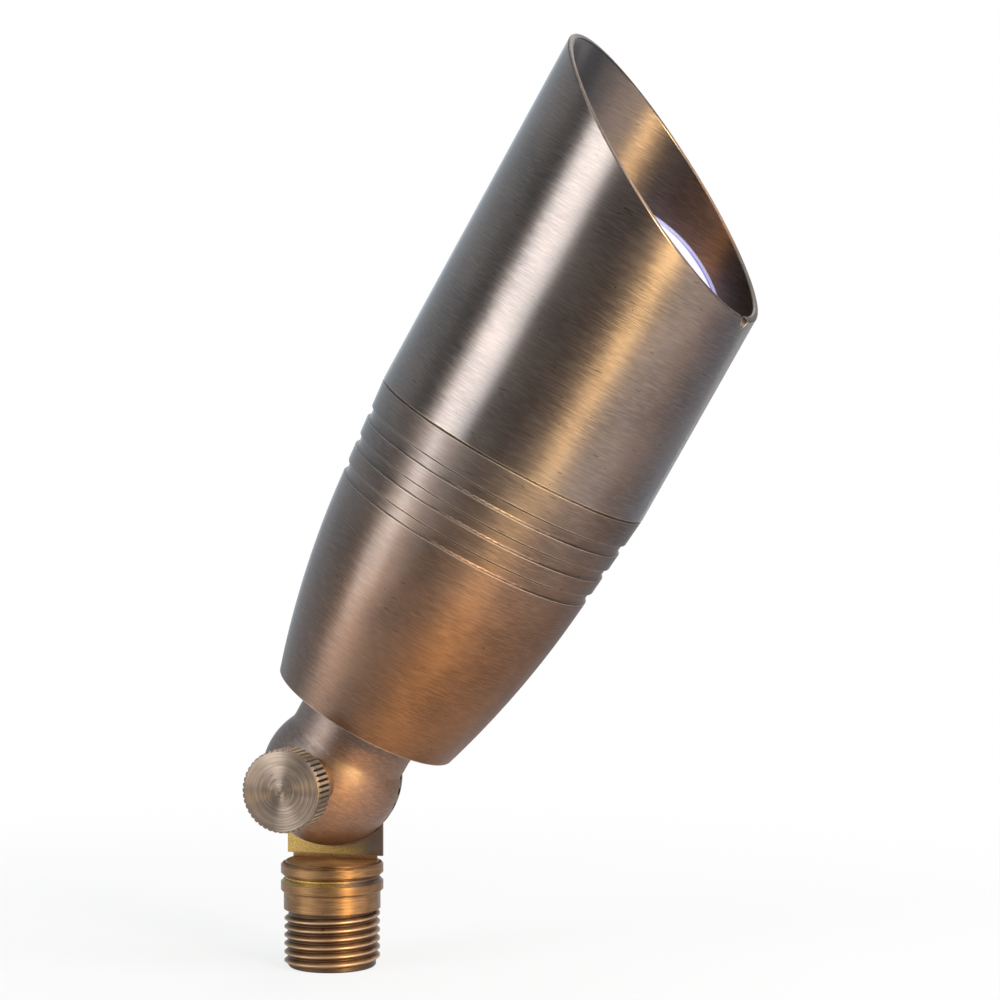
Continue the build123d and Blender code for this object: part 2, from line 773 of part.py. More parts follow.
# Bracket: a base under the locknut, two arms and a plate
with BuildPart() as socket_bracket:
    with BuildSketch(head_plane(cavity_floor_at)):
        Circle(bracket_arm_at + bracket_sheet)
        Circle(spigot_hole_radius, mode=Mode.SUBTRACT)
    extrude(amount=bracket_sheet)
    with BuildSketch(head_plane(cavity_floor_at)):
        with GridLocations(2 * bracket_arm_at, 0, 2, 1):
            Rectangle(bracket_sheet, bracket_arm_width)
    extrude(amount=bracket_plate_at + bracket_sheet - cavity_floor_at)
    with BuildSketch(head_plane(bracket_plate_at)):
        Rectangle(2 * bracket_arm_at + bracket_sheet, bracket_arm_width)
        Circle(lamp_pin_spacing / 2 + lead_radius + bracket_wire_gap, mode=Mode.SUBTRACT)
        with GridLocations(socket_screw_spacing, 0, 2, 1):
            Circle(socket_screw_radius + running_gap, mode=Mode.SUBTRACT)
    extrude(amount=bracket_sheet)

# Leads: two insulated wires from the contacts to the seal in the neck
with BuildPart() as socket_leads:
    for side in (-1, 1):
        contact_x = side * lamp_pin_spacing / 2
        seal_x = side * lead_seal_spacing / 2
        lead_drop = (contact_at - spigot_end_at) / 3
        lead_points = [
            head_plane(contact_at).from_local_coords((contact_x, 0, 0)),
            head_plane(contact_at - lead_drop).from_local_coords((contact_x, 0, 0)),
            head_plane(spigot_end_at + lead_drop).from_local_coords((seal_x, -neck_bore_offset, 0)),
            head_plane(spigot_end_at).from_local_coords((seal_x, -neck_bore_offset, 0)),
        ]
        with BuildLine(mode=Mode.PRIVATE) as lead_path:
            FilletPolyline(*lead_points, radius=lead_bend)
        with BuildSketch(Plane(origin=lead_points[0], x_dir=head_x, z_dir=-head_z)):
            Circle(lead_radius)
        sweep(path=lead_path.line)

pieces = {
    "stem": stem,
    "upper_knuckle": upper_knuckle,
    "knuckle_seal": knuckle_seal,
    "thumb_screw": thumb_screw,
    "thumb_washer": thumb_washer,
    "body": body,
    "neck_gasket": neck_gasket,
    "lock_washer": lock_washer,
    "neck_locknut": neck_locknut,
    "wire_seal": wire_seal,
    "o_ring_rear": o_ring_rear,
    "o_ring_front": o_ring_front,
    "shroud": shroud,
    "lens_gasket": lens_gasket,
    "lens": lens,
    "lens_bead": lens_bead,
    "lamp_housing": lamp_housing,
    "lamp_optic": lamp_optic,
    "lamp_led_board": lamp_led_board,
    "lamp_pins": lamp_pins,
    "socket_body": socket_body,
    "socket_contacts": socket_contacts,
    "socket_screws": socket_screws,
    "socket_bracket": socket_bracket,
    "socket_leads": socket_leads,
}
for node, piece in pieces.items():
    piece.part.label = node
    export_step(piece.part, f"parts/{node}.step")
    print(node, round(piece.part.volume, 1), len(piece.part.solids()), piece.part.is_valid)
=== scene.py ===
import json
from functools import cached_property
from math import cos, radians, sin

import bpy
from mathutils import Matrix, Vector


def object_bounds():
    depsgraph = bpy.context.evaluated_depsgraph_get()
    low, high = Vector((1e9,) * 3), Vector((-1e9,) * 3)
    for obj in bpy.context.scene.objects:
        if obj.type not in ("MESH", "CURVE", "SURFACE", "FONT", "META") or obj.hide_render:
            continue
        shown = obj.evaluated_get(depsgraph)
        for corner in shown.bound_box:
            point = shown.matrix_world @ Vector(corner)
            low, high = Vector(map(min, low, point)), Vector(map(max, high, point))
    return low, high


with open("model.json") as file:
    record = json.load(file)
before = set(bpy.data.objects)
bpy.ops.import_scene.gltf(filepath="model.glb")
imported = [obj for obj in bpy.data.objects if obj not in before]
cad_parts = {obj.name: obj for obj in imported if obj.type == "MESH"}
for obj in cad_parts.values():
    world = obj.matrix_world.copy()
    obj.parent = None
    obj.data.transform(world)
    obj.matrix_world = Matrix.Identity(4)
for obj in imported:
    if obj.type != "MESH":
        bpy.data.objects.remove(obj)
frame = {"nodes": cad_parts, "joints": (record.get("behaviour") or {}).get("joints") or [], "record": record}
cad_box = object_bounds()
nodes = frame["nodes"]
joints = {joint["name"]: joint for joint in frame["joints"]}
mm = 0.001

# The turning axes, from the joints: metal is brushed around the axis that it was turned on
pivot = Vector(joints["head_tilt"]["pos_m"])
head_axis = Vector(joints["shroud_turn"]["axis"]).normalized()
screw_axis = Vector(joints["thumb_screw_turn"]["axis"]).normalized()
stem_axis = Vector((0, 0, 1))
origin = Vector((0, 0, 0))
forward_axis = Vector((1, 0, 0))

# The side of the head that leans forward and down, turned to the warm lamps on the right: the copper tint is
# painted stronger there and weaker where the key's highlight falls, and the lacquer is thinner there
warm_lit_side = Vector((0.83, 0.28, -0.48)).normalized()

# Camera, at the photograph's angle: it looks at a point to the right of the pivot and above it
camera_azimuth = radians(16.309)
camera_elevation = radians(0.585)
camera_distance = 0.5327
camera_right = 0.036258
camera_up = 0.059292
camera_lens = 88.77
camera_sensor = 36.0
camera_clip_start = 0.01

back = Vector((
    sin(camera_azimuth) * cos(camera_elevation),
    -cos(camera_azimuth) * cos(camera_elevation),
    sin(camera_elevation),
))
right = Vector((cos(camera_azimuth), sin(camera_azimuth), 0))
up = back.cross(right)
target = pivot + right * camera_right + up * camera_up

camera_data = bpy.data.cameras.new("camera")
camera_data.sensor_width = camera_sensor
camera_data.lens = camera_lens
camera_data.clip_start = camera_clip_start
camera = bpy.data.objects.new("camera", camera_data)
camera.location = target + back * camera_distance
camera.rotation_euler = (-back).to_track_quat("-Z", "Y").to_euler()
bpy.context.scene.collection.objects.link(camera)
bpy.context.scene.camera = camera

# The colour sockets of a Mix node, which has others of the same names
mix_inputs = (0, 6, 7)
mix_result = 2

pure_white = (1.0, 1.0, 1.0)


def colour(rgb):
    return (*rgb, 1.0)


def times(rgb, factor):
    return tuple(channel * factor for channel in rgb)


class Shader:
    """A node tree, with short calls that add a node, feed its sockets and give its output."""

    def __init__(self, tree):
        self.tree = tree
        tree.nodes.clear()

    def feed(self, socket, value):
        if isinstance(value, bpy.types.NodeSocket):
            self.tree.links.new(value, socket)
        else:
            socket.default_value = value

    def add(self, kind, settings=None, **inputs):
        node = self.tree.nodes.new(kind)
        for name, value in (settings or {}).items():
            setattr(node, name, value)
        for name, value in inputs.items():
            self.feed(node.inputs[name.replace("_", " ")], value)
        return node

    def math(self, operation, *values):
        node = self.add("ShaderNodeMath", {"operation": operation})
        for socket, value in zip(node.inputs, values):
            self.feed(socket, value)
        return node.outputs[0]

    def vector(self, operation, *values):
        node = self.add("ShaderNodeVectorMath", {"operation": operation})
        for socket, value in zip(node.inputs, values):
            self.feed(socket, value)
        return node.outputs["Value" if operation in ("DOT_PRODUCT", "LENGTH") else "Vector"]

    def scale(self, vector, factor):
        node = self.add("ShaderNodeVectorMath", {"operation": "SCALE"}, Scale=factor)
        self.feed(node.inputs[0], vector)
        return node.outputs["Vector"]

    def noise(self, where, scale=1.0, detail=2.0, roughness=0.5):
        node = self.add("ShaderNodeTexNoise", Vector=where, Scale=scale, Detail=detail, Roughness=roughness)
        return node.outputs["Fac"]

    def spread(self, value, low, high, to_low=0.0, to_high=1.0):
        """A value stretched from one range to another, with a smooth start and end."""
        node = self.add("ShaderNodeMapRange", {"interpolation_type": "SMOOTHSTEP"})
        for socket, number in zip(node.inputs, (value, low, high, to_low, to_high)):
            self.feed(socket, number)
        return node.outputs["Result"]

    def mix(self, factor, a, b, blend="MIX"):
        node = self.add("ShaderNodeMix", {"data_type": "RGBA", "blend_type": blend})
        for index, value in zip(mix_inputs, (factor, a, b)):
            self.feed(node.inputs[index], colour(value) if isinstance(value, tuple) else value)
        return node.outputs[mix_result]

    def principled(self, **inputs):
        """A Principled surface with these inputs, as the material's own."""
        surface = self.add("ShaderNodeBsdfPrincipled", **inputs)
        self.add("ShaderNodeOutputMaterial", Surface=surface.outputs["BSDF"])


def new_material(name):
    """An empty material, and the Shader that fills it."""
    material = bpy.data.materials.new(name)
    material.use_nodes = True
    return material, Shader(material.node_tree)


# Ranges of a noise: most of its values, and those that show as strokes, pits, nicks and patches of wear
usual = (0.3, 0.7)
bright_strokes = (0.42, 0.68)
dark_strokes = (0.30, 0.46)
glossy_strokes = (0.38, 0.62)
leaning_strokes = (0.25, 0.75)
pitted = (0.78, 0.81)
nicked = (0.81, 0.84)
patchy = (0.25, 0.55)

# Brushing: how strokes climb with the radius, how far they stand and lean, and how much broader some are
stroke_climb = 0.73
stroke_relief = 0.03 * mm
stroke_strength = 0.7
stroke_lean = 0.01
broad_stroke = 1.8

# Flaws, painted shade in crevices and wear: their sizes, where they start and the share of the metal that
# they cover
cloud_scale = 70.0
pit_scale = 1500.0
pit_cover = 0.8
nick_width = 0.45 * mm
nick_turns = 0.75
nick_cover = 0.6
flaw_shade = 0.35
crevice = (0.45, 0.85)
crevice_shade_cover = 0.8
crevice_shade_tint = (0.40, 0.28, 0.20)
edge_radius = 0.35 * mm
edge_bend = (0.01, 0.12)
edge_roughness = 0.12
least_wear = 0.6
end_blend = 0.2
bare_sides = (-0.5, 0.3)


class Turned:
    """Places on a turned piece: along its axis, out from it, and along the tool's circular strokes."""

    def __init__(self, shader, point, axis):
        self.shader = shader
        self.axis = axis
        coordinates = shader.add("ShaderNodeTexCoord")
        self.position = coordinates.outputs["Object"]
        from_point = shader.vector("SUBTRACT", self.position, point)
        self.along = shader.vector("DOT_PRODUCT", from_point, axis)
        radial = shader.vector("SUBTRACT", from_point, shader.scale(axis, self.along))
        self.radius = shader.vector("LENGTH", radial)
        self.outward = shader.vector("NORMALIZE", radial)
        facing = shader.vector("DOT_PRODUCT", coordinates.outputs["Normal"], axis)
        self.end_on = shader.math("ABSOLUTE", facing)

    @cached_property
    def to_warm_lit_side(self):
        """How far a place is turned to the warm lit side, from -1 to 1."""
        return self.shader.vector("DOT_PRODUCT", self.outward, warm_lit_side)

    def strokes(self, thickness, turns):
        """Where to read a noise that is drawn out around the axis: thin strokes, this many to a turn."""
        climb = self.shader.math("MULTIPLY", self.radius, stroke_climb)
        profile = self.shader.math("ADD", self.along, climb)
        lengthwise = self.shader.scale(self.axis, self.shader.math("DIVIDE", profile, thickness))
        return self.shader.vector("ADD", self.shader.scale(self.outward, turns), lengthwise)

    def around(self):
        """The direction along the strokes, in the world."""
        node = self.shader.add(
            "ShaderNodeVectorTransform",
            {"vector_type": "VECTOR", "convert_from": "OBJECT", "convert_to": "WORLD"},
            Vector=self.shader.vector("CROSS_PRODUCT", self.axis, self.outward),
        )
        return node.outputs["Vector"]


def brushed_metal(
    name, point, axis, shade, light, dark, tone, roughness, swing=0.012, anisotropy=0.8, grazing=pure_white,
    stroke=0.16 * mm, turns=14.0, contrast=0.6, coat=0.8, coat_roughness=0.22, coat_ior=1.65, bare=1.0,
    edge=None, wear=0.9, crevice_shade=None, end_from=0.25, end_rough=0.0, end_coat=1.0,
):
    """Aged brass, brushed around an axis: strokes, cloudy patina, small pits, worn edges, lacquer and painted
    shade in crevices.

    tone is a function that varies the colour over the piece, and swing is how far the roughness follows the
    strokes. grazing tints the metal at a grazing angle. bare is the share of the lacquer that is left on the
    warm lit side. edge is the colour of the worn corners, if there are any, and crevices up to the given
    width are darkened with painted shade. An end face starts where the surface faces along the axis by
    end_from: it is rougher by end_rough and keeps a share end_coat of the lacquer.
    """
    material, shader = new_material(name)
    turned = Turned(shader, point, axis)
    flat = shader.add("ShaderNodeNewGeometry").outputs["Normal"]
    around = turned.around()
    fine = shader.noise(turned.strokes(stroke, turns), detail=3.0, roughness=0.6)
    broad = shader.noise(turned.strokes(broad_stroke * stroke, turns / 2), detail=2.0)
    lines = shader.math("MULTIPLY", shader.math("ADD", fine, broad), 0.5)
    cloud = shader.noise(turned.position, scale=cloud_scale, detail=3.0)
    pits = shader.noise(turned.position, scale=pit_scale, detail=1.0)
    nicks = shader.noise(turned.strokes(nick_width, nick_turns * turns), detail=0.0)

    metal = shader.mix(shader.spread(cloud, *usual), shade, dark)
    metal = shader.mix(shader.spread(lines, *bright_strokes, 0.0, contrast), metal, light)
    metal = shader.mix(shader.spread(lines, *dark_strokes, contrast, 0.0), metal, dark)
    metal = tone(shader, turned, metal)
    pits = shader.spread(pits, *pitted, 0.0, pit_cover)
    nicks = shader.spread(nicks, *nicked, 0.0, nick_cover)
    metal = shader.mix(shader.math("MAXIMUM", pits, nicks), metal, times(dark, flaw_shade))
    # Painted shade: crevices, up to the given width, are darkened by how closed in they are
    if crevice_shade:
        near_only = {"samples": 8, "only_local": True}
        open_sky = shader.add("ShaderNodeAmbientOcclusion", near_only, Distance=crevice_shade).outputs["AO"]
        crevice_shading = shader.spread(open_sky, *crevice, crevice_shade_cover, 0.0)
        metal = shader.mix(crevice_shading, metal, crevice_shade_tint, "MULTIPLY")

    # Corners are worn smooth, so they have a colour of their own and no strokes
    stroke_gloss = shader.spread(lines, *glossy_strokes, -swing, swing)
    base_roughness = roughness
    strength = stroke_strength
    if edge:
        rounded = shader.add("ShaderNodeBevel", {"samples": 6}, Radius=edge_radius).outputs["Normal"]
        bend = shader.math("SUBTRACT", 1.0, shader.vector("DOT_PRODUCT", rounded, flat))
        corner = shader.spread(bend, *edge_bend)
        worn = shader.math("MULTIPLY", corner, shader.spread(cloud, *patchy, least_wear * wear, wear))
        metal = shader.mix(worn, metal, edge)
        strokes_left = shader.math("SUBTRACT", 1.0, corner)
        stroke_gloss = shader.math("MULTIPLY", strokes_left, stroke_gloss)
        base_roughness = shader.spread(strokes_left, 0.0, 1.0, roughness + edge_roughness, roughness)
        strength = shader.math("MULTIPLY", strokes_left, stroke_strength)

    end_face = shader.spread(turned.end_on, end_from, end_from + end_blend)
    uneven = shader.math("ADD", stroke_gloss, base_roughness)
    if end_rough:
        uneven = shader.math("ADD", uneven, shader.math("MULTIPLY", end_face, end_rough))
    lacquer = coat
    if end_coat < 1.0:
        lacquer = shader.spread(end_face, 0.0, 1.0, coat, coat * end_coat)
    if bare < 1.0:
        lacquer = shader.math("MULTIPLY", lacquer, shader.spread(turned.to_warm_lit_side, *bare_sides, 1.0, bare))

    bump = shader.add("ShaderNodeBump", Strength=strength, Distance=stroke_relief, Height=lines)
    lean = shader.scale(around, shader.spread(lines, *leaning_strokes, -stroke_lean, stroke_lean))
    normal = shader.vector("NORMALIZE", shader.vector("ADD", bump.outputs["Normal"], lean))
    shader.principled(
        Base_Color=metal,
        Metallic=1.0,
        Roughness=uneven,
        Anisotropic=anisotropy,
        Specular_Tint=colour(grazing),
        Tangent=shader.vector("CROSS_PRODUCT", flat, around),
        Normal=normal,
        Coat_Weight=lacquer,
        Coat_Roughness=coat_roughness,
        Coat_IOR=coat_ior,
    )
    return material


# Plain stock: the scales of its colour and its grain, how deep the grain is and how far the finish varies
stock_cloud_scale = 200.0 / 3
stock_grain_scale = 1600.0
stock_relief = 0.02 * mm
stock_strength = 0.3
stock_swing = 0.06


def plain_material(name, shade, light, roughness, metallic=0.0):
    """Moulded, cast or sheet stock: a fine grain, slow colour variation and an uneven finish."""
    material, shader = new_material(name)
    position = shader.add("ShaderNodeTexCoord").outputs["Object"]
    cloud = shader.noise(position, scale=stock_cloud_scale, detail=3.0)
    grain = shader.noise(position, scale=stock_grain_scale, detail=2.0)
    bump = shader.add("ShaderNodeBump", Strength=stock_strength, Distance=stock_relief, Height=grain)
    shader.principled(
        Base_Color=shader.mix(shader.spread(cloud, *usual), shade, light),
        Roughness=shader.spread(grain, *usual, roughness - stock_swing, roughness + stock_swing),
        Metallic=metallic,
        Normal=bump.outputs["Normal"],
    )
    return material


# The lens: its colours, and where towards its limb the painted refraction, a darker band and two fine lines,
# lies
glass_shade = (0.47, 0.48, 0.67)
glass_light = (0.51, 0.52, 0.70)
limb_refraction_shade = (0.30, 0.31, 0.55)
line_refraction_shade = (0.02, 0.03, 0.30)
limb_start = (0.785, 0.815)
inner_line_start = (0.76, 0.78)
inner_line_end = (0.80, 0.82)
outer_line_start = (0.91, 0.95)
outer_line_cover = 0.7
frost_scale = 2500.0
haze_scale = 60.0
glass_bleed = 4 * mm


def lens_material(name):
    """Frosted domed glass: pale, a little violet, with a darker limb and two fine lines painted by the
    viewing angle as refraction.
    """
    material, shader = new_material(name)
    position = shader.add("ShaderNodeTexCoord").outputs["Object"]
    frost = shader.noise(position, scale=frost_scale, detail=2.0)
    haze = shader.noise(position, scale=haze_scale, detail=2.0)
    limb = shader.add("ShaderNodeLayerWeight", Blend=0.5).outputs["Facing"]
    glass = shader.mix(shader.spread(haze, *usual), glass_shade, glass_light)
    # Painted refraction: a darker band and two fine lines towards the limb, by the viewing angle
    glass = shader.mix(shader.spread(limb, *limb_start), glass, limb_refraction_shade)
    before_end = shader.spread(limb, *inner_line_end, 1.0, 0.0)
    inner_line = shader.math("MULTIPLY", shader.spread(limb, *inner_line_start), before_end)
    outer_line = shader.spread(limb, *outer_line_start, 0.0, outer_line_cover)
    glass = shader.mix(shader.math("MAXIMUM", inner_line, outer_line), glass, line_refraction_shade)
    shader.principled(
        Base_Color=glass,
        Roughness=shader.spread(frost, *usual, 0.30, 0.38),
        IOR=1.5,
        Subsurface_Weight=0.4,
        Subsurface_Radius=(glass_bleed, glass_bleed, glass_bleed),
        Coat_Weight=0.3,
        Coat_Roughness=0.05,
    )
    return material


# Colours of the aged brass: shade, light strokes and dark patina
bronze = dict(shade=(0.192, 0.139, 0.110), light=(0.285, 0.21, 0.163), dark=(0.127, 0.091, 0.073))
yellow = dict(shade=(0.315, 0.165, 0.065), light=(0.46, 0.26, 0.105), dark=(0.17, 0.085, 0.034))
tan = dict(shade=(0.40, 0.30, 0.225), light=(0.68, 0.52, 0.395), dark=(0.185, 0.137, 0.105))

# The head: where copper fades along it, and where it is painted weaker on the side of the key's highlight:
# the warm lit sides that have the copper, and what the other side has of it
copper_tint = (1.20, 0.77, 0.45)
copper_fade = (36 * mm, 80 * mm)
copper_sides = (-0.85, 0.1)
least_copper = 0.42


def head_tone(shader, turned, metal):
    """Bronze at the front of the head, copper from the grooves to the knuckle; the copper is painted weaker
    where the key's highlight falls.
    """
    warmth = shader.spread(turned.along, *copper_fade, 1.0, 0.0)
    # Painted light: more copper on the side that the warm lamps light, less where the key's highlight falls
    side = shader.spread(turned.to_warm_lit_side, *copper_sides, least_copper, 1.0)
    return shader.mix(shader.math("MULTIPLY", warmth, side), metal, copper_tint, "MULTIPLY")


# The shroud's bore: painted shade and light, from the dark upper wall round to the bright lowest, and the
# sides where they change
bore_radius = (29.8 * mm, 30.2 * mm)
bore_upper_shade = (0.25, 0.26, 0.30)
bore_middle_shade = (0.70, 0.68, 0.67)
bore_lower_light = (2.2, 1.65, 1.10)
bore_lowest_light = (1.45, 1.75, 2.0)
upper_to_middle = (-0.85, -0.4)
middle_to_lower = (0.0, 0.6)
lower_to_lowest = (0.62, 0.85)


def shroud_tone(shader, turned, metal):
    """As the rest of the head outside; in the bore, painted shade on the upper wall and painted warm and cool
    light on the lower.
    """
    metal = head_tone(shader, turned, metal)
    # Painted light and shade: the bore's walls are darkened or brightened by which way they face
    tint = shader.mix(shader.spread(turned.to_warm_lit_side, *upper_to_middle), bore_upper_shade, bore_middle_shade)
    tint = shader.mix(shader.spread(turned.to_warm_lit_side, *middle_to_lower), tint, bore_lower_light)
    tint = shader.mix(shader.spread(turned.to_warm_lit_side, *lower_to_lowest), tint, bore_lowest_light)
    return shader.mix(shader.spread(turned.radius, *bore_radius, 1.0, 0.0), metal, tint, "MULTIPLY")


# The stem: heights and radii between which one finish gives way to the next, and the reach of the painted
# shadow on the lug
lug_foot = (7.47 * mm, 7.6 * mm)
groove_foot = (2.0 * mm, 2.2 * mm)
groove_head = (3.2 * mm, 3.4 * mm)
lug_front = (2 * mm, 9 * mm)
ball_limit = (15.3 * mm, 16.2 * mm)
thread_head = (-4.2 * mm, -3.8 * mm)
crest_radius = (10.0 * mm, 10.3 * mm)
root_radius = (9.45 * mm, 9.75 * mm)
cast_scale = 3500.0
cast_yellow = (0.63, 0.41, 0.12)
cast_shade = 0.5
lug_shadow = (0.13, 0.09, 0.08)
lug_shadow_cover = 0.9
ball_bronze = (0.25, 0.145, 0.082)
ball_shadow = (0.19, 0.105, 0.060)
thread_crest_highlight = (0.66, 0.46, 0.29)
crest_highlight_cover = 0.7
thread_shadow = (0.075, 0.042, 0.028)
root_cover = 0.85


def stem_tone(shader, turned, metal):
    """Bronze on the half ball, yellow as cast on the lug and between the collar's rings, with a painted
    shadow on the lug's right side; a painted highlight on the thread's crests and painted shade in its roots.
    """
    lug = shader.spread(turned.along, *lug_foot)
    below_head = shader.spread(turned.along, *groove_head, 1.0, 0.0)
    groove = shader.math("MULTIPLY", shader.spread(turned.along, *groove_foot), below_head)
    grain = shader.spread(shader.noise(turned.position, scale=cast_scale, detail=2.0), *usual)
    skin = shader.mix(grain, times(cast_yellow, cast_shade), cast_yellow)
    # Painted shadow: the lug's front darkens towards its right end, where the ball shades it
    forward = shader.vector("DOT_PRODUCT", turned.position, forward_axis)
    skin = shader.mix(shader.spread(forward, *lug_front, 0.0, lug_shadow_cover), skin, lug_shadow)
    from_pivot = shader.vector("LENGTH", shader.vector("SUBTRACT", turned.position, pivot))
    patina = shader.mix(grain, ball_shadow, ball_bronze)
    skin = shader.mix(shader.spread(from_pivot, *ball_limit, 1.0, 0.0), skin, patina)
    metal = shader.mix(shader.math("MAXIMUM", lug, groove), metal, skin)
    # Painted highlight on the thread's crests, and painted shade in its roots
    thread = shader.spread(turned.along, *thread_head, 1.0, 0.0)
    crest_highlight = shader.math("MULTIPLY", thread, shader.spread(turned.radius, *crest_radius, 0.0, crest_highlight_cover))
    metal = shader.mix(crest_highlight, metal, thread_crest_highlight)
    root_shade = shader.math("MULTIPLY", thread, shader.spread(turned.radius, *root_radius, root_cover, 0.0))
    return shader.mix(root_shade, metal, thread_shadow)


# The clamp screw: where its knurled side starts, how tall the teeth are and how much painted shade their tops
# keep
side_facing = (0.3, 0.7)
head_radius = (6.0 * mm, 7.0 * mm)
tooth_radius = (8.2 * mm, 8.55 * mm)
tooth_cover = 0.65
knurl_painted_shade = (0.085, 0.07, 0.066)


def knob_tone(shader, turned, metal):
    """Tan on the turned face, and painted shade in the knurl around it, darkest between the teeth."""
    side = shader.spread(turned.end_on, *side_facing, 1.0, 0.0)
    side = shader.math("MULTIPLY", side, shader.spread(turned.radius, *head_radius))
    # Painted shade: the knurled side is darkened, fully in the valleys and partly on the teeth
    knurl_shading = shader.math("MULTIPLY", side, shader.spread(turned.radius, *tooth_radius, 1.0, tooth_cover))
    return shader.mix(knurl_shading, metal, knurl_painted_shade)


# Materials: the three large pieces of the head have one each, and the rest follow the record's slots
head_metals = {
    "shroud": brushed_metal(
        "shroud_metal", pivot, head_axis, **bronze, tone=shroud_tone, roughness=0.34, edge=(0.92, 0.72, 0.46),
        end_rough=0.25, end_coat=0.2,
    ),
    "body": brushed_metal(
        "body_metal", pivot, head_axis, **bronze, tone=head_tone, roughness=0.46, swing=0.02, anisotropy=0.72,
        coat=0.78, bare=0.2, edge=(0.88, 0.74, 0.58), wear=0.6, crevice_shade=1.2 * mm,
    ),
    "upper_knuckle": brushed_metal(
        "knuckle_metal", pivot, head_axis, **bronze, tone=head_tone, roughness=0.60, anisotropy=0.6,
        stroke=0.22 * mm, contrast=0.9, coat=1.0, coat_roughness=0.46, coat_ior=1.82, bare=0.75,
    ),
}
stock = {
    "black_rubber": dict(shade=(0.018, 0.018, 0.018), light=(0.03, 0.03, 0.03), roughness=0.7),
    "white_silicone": dict(shade=(0.74, 0.74, 0.72), light=(0.82, 0.82, 0.80), roughness=0.4),
    "steel": dict(shade=(0.50, 0.50, 0.51), light=(0.62, 0.62, 0.62), roughness=0.35, metallic=1.0),
    "lamp_aluminium": dict(shade=(0.60, 0.61, 0.62), light=(0.70, 0.71, 0.72), roughness=0.45, metallic=1.0),
    "lamp_optic": dict(shade=(0.80, 0.81, 0.84), light=(0.88, 0.89, 0.91), roughness=0.25),
    "board": dict(shade=(0.78, 0.78, 0.75), light=(0.85, 0.85, 0.82), roughness=0.4),
    "ceramic": dict(shade=(0.76, 0.73, 0.65), light=(0.84, 0.81, 0.74), roughness=0.25),
    "lead_insulation": dict(shade=(0.55, 0.53, 0.47), light=(0.64, 0.62, 0.55), roughness=0.5),
}
slot_materials = {slot: plain_material(slot, **look) for slot, look in stock.items()}
slot_materials["stem_brass"] = brushed_metal(
    "stem_metal", origin, stem_axis, **yellow, tone=stem_tone, roughness=0.44, anisotropy=0.4, turns=4.0,
    coat=0.3, crevice_shade=2.0 * mm, end_from=0.75, end_rough=0.35, end_coat=0.0,
)
slot_materials["knob_brass"] = brushed_metal(
    "knob_metal", pivot, screw_axis, **tan, tone=knob_tone, roughness=0.68, swing=0.015, anisotropy=0.92,
    grazing=(0.35, 0.30, 0.27), stroke=0.12 * mm, turns=1.5, contrast=0.4, coat=0.05,
    edge=(0.50, 0.43, 0.36), wear=0.2, end_from=0.8, end_rough=-0.38,
)
slot_materials["lens_glass"] = lens_material("lens_glass")

slots = {part["node"]: part["material_slot"] for part in frame["record"]["subparts"]}
for name, node in nodes.items():
    material = head_metals.get(name) or slot_materials[slots[name]]
    for slot in node.material_slots:
        slot.material = material

# Studio: a pale floor, which fades to white away from the object
paper_grey = (0.6, 0.6, 0.6)
floor_height = cad_box[0][2]
floor_reach = 3.0
floor_fade = (0.02, 0.30)
least_white = 0.80
floor_mirrored = 0.15


def flat_card(name, corners):
    """An object with one four-sided face."""
    mesh = bpy.data.meshes.new(name)
    mesh.from_pydata(corners, [], [(0, 1, 2, 3)])
    card = bpy.data.objects.new(name, mesh)
    bpy.context.scene.collection.objects.link(card)
    return card


def background_share(shader, direct, mirrored):
    """How much of the white background a ray sees: the camera's own rays, and those in metal or glass."""
    path = shader.add("ShaderNodeLightPath")
    glossy = shader.math("MAXIMUM", path.outputs["Is Glossy Ray"], path.outputs["Is Transmission Ray"])
    camera_share = shader.math("MULTIPLY", path.outputs["Is Camera Ray"], direct)
    return shader.math("MAXIMUM", camera_share, shader.math("MULTIPLY", glossy, mirrored))


floor = flat_card("floor", [
    (-floor_reach, -floor_reach, floor_height),
    (floor_reach, -floor_reach, floor_height),
    (floor_reach, floor_reach, floor_height),
    (-floor_reach, floor_reach, floor_height),
])
floor_material, floor_shader = new_material("floor")
paper = floor_shader.add("ShaderNodeBsdfDiffuse", Color=colour(paper_grey))
white = floor_shader.add("ShaderNodeEmission", Color=colour(pure_white), Strength=1.0)
place = floor_shader.add("ShaderNodeTexCoord").outputs["Object"]
away = floor_shader.spread(floor_shader.vector("LENGTH", place), *floor_fade, least_white, 1.0)
share = background_share(floor_shader, away, floor_mirrored)
floor_surface = floor_shader.add("ShaderNodeMixShader")
for socket, value in zip(floor_surface.inputs, (share, paper.outputs[0], white.outputs[0])):
    floor_shader.feed(socket, value)
floor_shader.add("ShaderNodeOutputMaterial", Surface=floor_surface.outputs[0])
floor.data.materials.append(floor_material)

# World: white to the camera; in reflections a white sweep behind the object and a dim room in front
world = bpy.data.worlds.new("studio")
world.use_nodes = True
bpy.context.scene.world = world
world_shader = Shader(world.node_tree)
direction = world_shader.add("ShaderNodeTexCoord").outputs["Generated"]
behind = world_shader.vector("DOT_PRODUCT", direction, Vector((-back.x, -back.y, 0)).normalized())
aside = world_shader.vector("DOT_PRODUCT", direction, right)
right_half = world_shader.spread(aside, -0.3, 0.3)
left_wall = world_shader.spread(behind, -0.15, 0.35, to_low=0.15, to_high=0.52)
right_wall = world_shader.spread(behind, -0.1, 0.7, to_low=0.12, to_high=0.38)
room = world_shader.mix(right_half, left_wall, right_wall)
sweep = world_shader.spread(behind, 0.80, 1.0, to_low=0.0, to_high=0.9)
strength = world_shader.math("MAXIMUM", background_share(world_shader, 1.0, sweep), room)
camera_ray = world_shader.add("ShaderNodeLightPath").outputs["Is Camera Ray"]
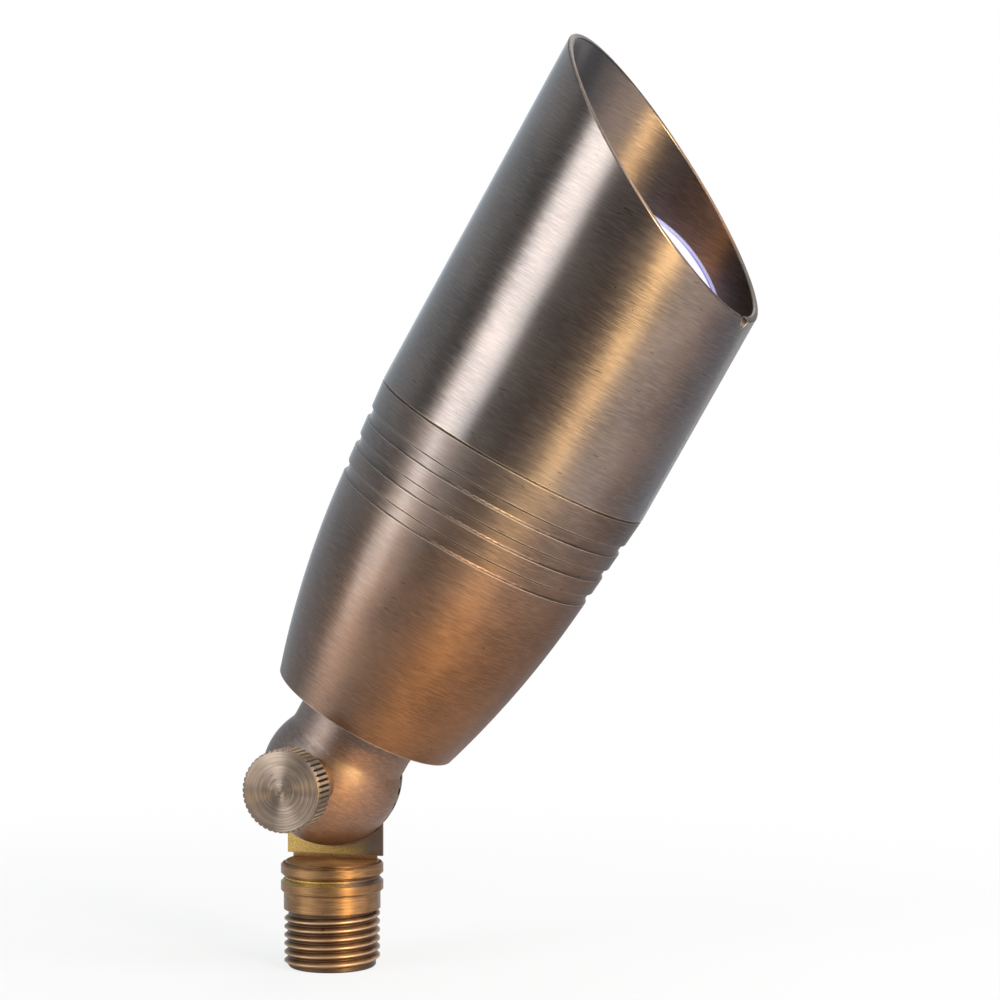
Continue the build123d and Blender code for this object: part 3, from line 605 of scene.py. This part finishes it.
room_tint = world_shader.mix(right_half, (0.86, 0.97, 1.08), (0.97, 0.97, 1.0))
world_tint = world_shader.mix(camera_ray, room_tint, pure_white)
background = world_shader.add("ShaderNodeBackground", Color=world_tint, Strength=strength)
world_shader.add("ShaderNodeOutputWorld", Surface=background.outputs[0])


def softbox(name, toward, width, height, power, tint=pure_white, distance=1.0):
    """A rectangular lamp that faces the head from a direction."""
    data = bpy.data.lights.new(name, "AREA")
    data.shape = "RECTANGLE"
    data.size = width
    data.size_y = height
    data.energy = power
    data.color = tint
    lamp = bpy.data.objects.new(name, data)
    way = Vector(toward).normalized()
    lamp.location = target + way * distance
    lamp.rotation_euler = way.to_track_quat("Z", "Y").to_euler()
    lamp.visible_camera = False
    bpy.context.scene.collection.objects.link(lamp)


# Lamps: two on the left, a warm strip and two more on the right, one overhead and one behind
softbox("key", (-0.555, -0.785, 0.40), width=0.48, height=0.65, power=6.0, tint=(0.89, 0.97, 1.05))
softbox("side", (-0.78, -0.62, 0.0), width=0.34, height=0.25, power=1.15, tint=(1.0, 0.96, 0.92))
softbox("strip", (0.79, -0.60, 0.12), width=0.20, height=0.38, power=11.2, tint=(1.0, 0.79, 0.41))
softbox("glint", (0.70, -0.32, 0.62), width=0.60, height=0.50, power=5.6, tint=(0.88, 0.96, 1.08))
softbox("fill", (0.95, 0.0, 0.30), width=0.18, height=0.6, power=3.6, tint=(0.98, 0.88, 0.97))
softbox("top", (0.35, -0.05, 1.0), width=0.9, height=0.9, power=6.0, distance=1.2)
softbox("rear", (0.05, 0.8, 0.8), width=0.5, height=0.9, power=2.7, distance=1.2)

flag_lift = 1 * mm


def flag(name, toward, near, far, width, shade):
    """A dark card that lies on the floor beside the object and shows only in reflections."""
    way = Vector(toward).normalized()
    across = Vector((-way.y, way.x, 0)) * width / 2
    start = Vector((target.x, target.y, floor_height + flag_lift)) + way * near
    end = start + way * (far - near)
    card = flat_card(name, [start - across, end - across, end + across, start + across])
    card_material, card_shader = new_material(name)
    card_shader.principled(Base_Color=colour(shade))
    card.data.materials.append(card_material)
    card.visible_camera = False
    card.visible_diffuse = False
    card.visible_shadow = False


flag("near_flag", (0.5, 0.87, 0.0), near=0.07, far=0.16, width=0.46, shade=(0.42, 0.37, 0.35))
flag("rear_flag", (0.5, 0.87, 0.0), near=0.16, far=0.6, width=0.46, shade=(0.26, 0.28, 0.32))
flag("front_flag", (0.20, -0.98, 0.0), near=0.22, far=1.5, width=0.5, shade=(0.10, 0.085, 0.08))

bpy.context.scene.view_settings.view_transform = "Standard"
